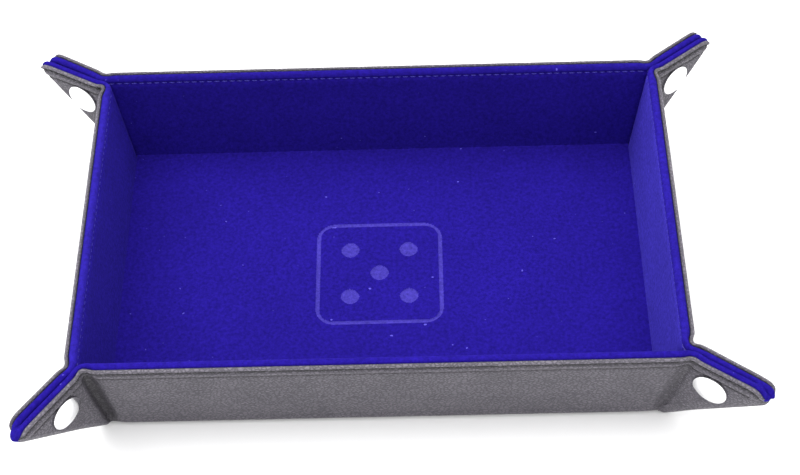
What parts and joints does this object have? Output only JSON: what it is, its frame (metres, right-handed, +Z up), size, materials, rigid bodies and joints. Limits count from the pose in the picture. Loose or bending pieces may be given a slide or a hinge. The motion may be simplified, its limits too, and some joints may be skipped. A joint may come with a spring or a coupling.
{
  "type": "folding dice tray",
  "caption": "Shallow rectangular dice tray of velvet-lined leather over stiff boards, with corners pinched into ears by snap fasteners; it opens out to a flat sheet.",
  "frame": {"origin": "middle of the tray's underside, on the surface it stands on", "axes": "+X along the long walls, +Y towards the back long wall, +Z up out of the open tray"},
  "size_m": [0.269, 0.1852, 0.0421],
  "materials": {
    "outer_leather": "pebbled grain, satin",
    "velvet_lining": "short-pile velvet",
    "stiff_board": "grey-board, matt",
    "seam_thread": "twisted polyester thread",
    "snap_metal": "bright nickel plate"
  },
  "bodies": {
    "base": {"leather_base": "outer_leather", "lining_base": "velvet_lining", "board_base": "stiff_board"},
    "wall_front": {"leather_front": "outer_leather", "lining_front": "velvet_lining", "board_front": "stiff_board", "thread_front": "seam_thread"},
    "wall_right": {"leather_right": "outer_leather", "lining_right": "velvet_lining", "board_right": "stiff_board", "thread_right": "seam_thread"},
    "wall_back": {"leather_back": "outer_leather", "lining_back": "velvet_lining", "board_back": "stiff_board", "thread_back": "seam_thread"},
    "wall_left": {"leather_left": "outer_leather", "lining_left": "velvet_lining", "board_left": "stiff_board", "thread_left": "seam_thread"},
    "ear_front_left": {"leather_ear_front_left": "outer_leather", "lining_ear_front_left": "velvet_lining", "thread_ear_front_left": "seam_thread", "snap_cap_front_left": "snap_metal", "snap_socket_front_left": "snap_metal"},
    "ear_front_right": {"leather_ear_front_right": "outer_leather", "lining_ear_front_right": "velvet_lining", "thread_ear_front_right": "seam_thread", "snap_cap_front_right": "snap_metal", "snap_socket_front_right": "snap_metal"},
    "ear_right_front": {"leather_ear_right_front": "outer_leather", "lining_ear_right_front": "velvet_lining", "thread_ear_right_front": "seam_thread", "snap_cap_right_front": "snap_metal", "snap_stud_right_front": "snap_metal"},
    "ear_right_back": {"leather_ear_right_back": "outer_leather", "lining_ear_right_back": "velvet_lining", "thread_ear_right_back": "seam_thread", "snap_cap_right_back": "snap_metal", "snap_stud_right_back": "snap_metal"},
    "ear_back_right": {"leather_ear_back_right": "outer_leather", "lining_ear_back_right": "velvet_lining", "thread_ear_back_right": "seam_thread", "snap_cap_back_right": "snap_metal", "snap_socket_back_right": "snap_metal"},
    "ear_back_left": {"leather_ear_back_left": "outer_leather", "lining_ear_back_left": "velvet_lining", "thread_ear_back_left": "seam_thread", "snap_cap_back_left": "snap_metal", "snap_socket_back_left": "snap_metal"},
    "ear_left_back": {"leather_ear_left_back": "outer_leather", "lining_ear_left_back": "velvet_lining", "thread_ear_left_back": "seam_thread", "snap_cap_left_back": "snap_metal", "snap_stud_left_back": "snap_metal"},
    "ear_left_front": {"leather_ear_left_front": "outer_leather", "lining_ear_left_front": "velvet_lining", "thread_ear_left_front": "seam_thread", "snap_cap_left_front": "snap_metal", "snap_stud_left_front": "snap_metal"}
  },
  "joints": [
    {"name": "wall_front_fold", "type": "hinge", "parent": "base", "child": "wall_front", "pos_m": [0, -0.061, 0.004], "axis": [1, 0, 0], "range_deg": [0, 82]},
    {"name": "wall_right_fold", "type": "hinge", "parent": "base", "child": "wall_right", "pos_m": [0.0975, 0, 0.004], "axis": [0, 1, 0], "range_deg": [0, 82]},
    {"name": "wall_back_fold", "type": "hinge", "parent": "base", "child": "wall_back", "pos_m": [0, 0.061, 0.004], "axis": [-1, 0, 0], "range_deg": [0, 82]},
    {"name": "wall_left_fold", "type": "hinge", "parent": "base", "child": "wall_left", "pos_m": [-0.0975, 0, 0.004], "axis": [0, -1, 0], "range_deg": [0, 82]},
    {"name": "ear_front_left_fold", "type": "hinge", "parent": "wall_front", "child": "ear_front_left", "pos_m": [-0.09818, -0.06764, 0.02251], "axis": [0.1081, 0.1384, -0.9845], "range_deg": [0, 52.5]},
    {"name": "ear_front_right_fold", "type": "hinge", "parent": "wall_front", "child": "ear_front_right", "pos_m": [0.10121, -0.06764, 0.02251], "axis": [0.2095, -0.1361, 0.9683], "range_deg": [0, 33.9]},
    {"name": "ear_right_front_fold", "type": "hinge", "parent": "wall_right", "child": "ear_right_front", "pos_m": [0.10414, -0.06108, 0.02251], "axis": [-0.1386, 0.09, -0.9862], "range_deg": [0, 57.4]},
    {"name": "ear_right_back_fold", "type": "hinge", "parent": "wall_right", "child": "ear_right_back", "pos_m": [0.10414, 0.06194, 0.02251], "axis": [0.1382, 0.116, 0.9836], "range_deg": [0, 50.5]},
    {"name": "ear_back_right_fold", "type": "hinge", "parent": "wall_back", "child": "ear_back_right", "pos_m": [0.09989, 0.06764, 0.02251], "axis": [-0.1636, -0.1373, -0.9769], "range_deg": [0, 40.7]},
    {"name": "ear_back_left_fold", "type": "hinge", "parent": "wall_back", "child": "ear_back_left", "pos_m": [-0.10143, 0.06764, 0.02251], "axis": [-0.2174, 0.1358, 0.9666], "range_deg": [0, 32.9]},
    {"name": "ear_left_back_fold", "type": "hinge", "parent": "wall_left", "child": "ear_left_back", "pos_m": [-0.10414, 0.06096, 0.02251], "axis": [0.1386, -0.0866, -0.9865], "range_deg": [0, 58.4]},
    {"name": "ear_left_front_fold", "type": "hinge", "parent": "wall_left", "child": "ear_left_front", "pos_m": [-0.10414, -0.06373, 0.02251], "axis": [-0.137, -0.1754, 0.9749], "range_deg": [0, 38.8]}
  ],
  "couplings": [
    {"joint": "wall_right_fold", "follows": "wall_front_fold", "ratio": 1},
    {"joint": "wall_back_fold", "follows": "wall_front_fold", "ratio": 1},
    {"joint": "wall_left_fold", "follows": "wall_front_fold", "ratio": 1},
    {"joint": "ear_front_left_fold", "follows": "wall_front_fold", "ratio": 0.63944},
    {"joint": "ear_front_right_fold", "follows": "wall_front_fold", "ratio": 0.41279},
    {"joint": "ear_right_front_fold", "follows": "wall_front_fold", "ratio": 0.69953},
    {"joint": "ear_right_back_fold", "follows": "wall_front_fold", "ratio": 0.61544},
    {"joint": "ear_back_right_fold", "follows": "wall_front_fold", "ratio": 0.49585},
    {"joint": "ear_back_left_fold", "follows": "wall_front_fold", "ratio": 0.40099},
    {"joint": "ear_left_back_fold", "follows": "wall_front_fold", "ratio": 0.71156},
    {"joint": "ear_left_front_fold", "follows": "wall_front_fold", "ratio": 0.47205}
  ]
}
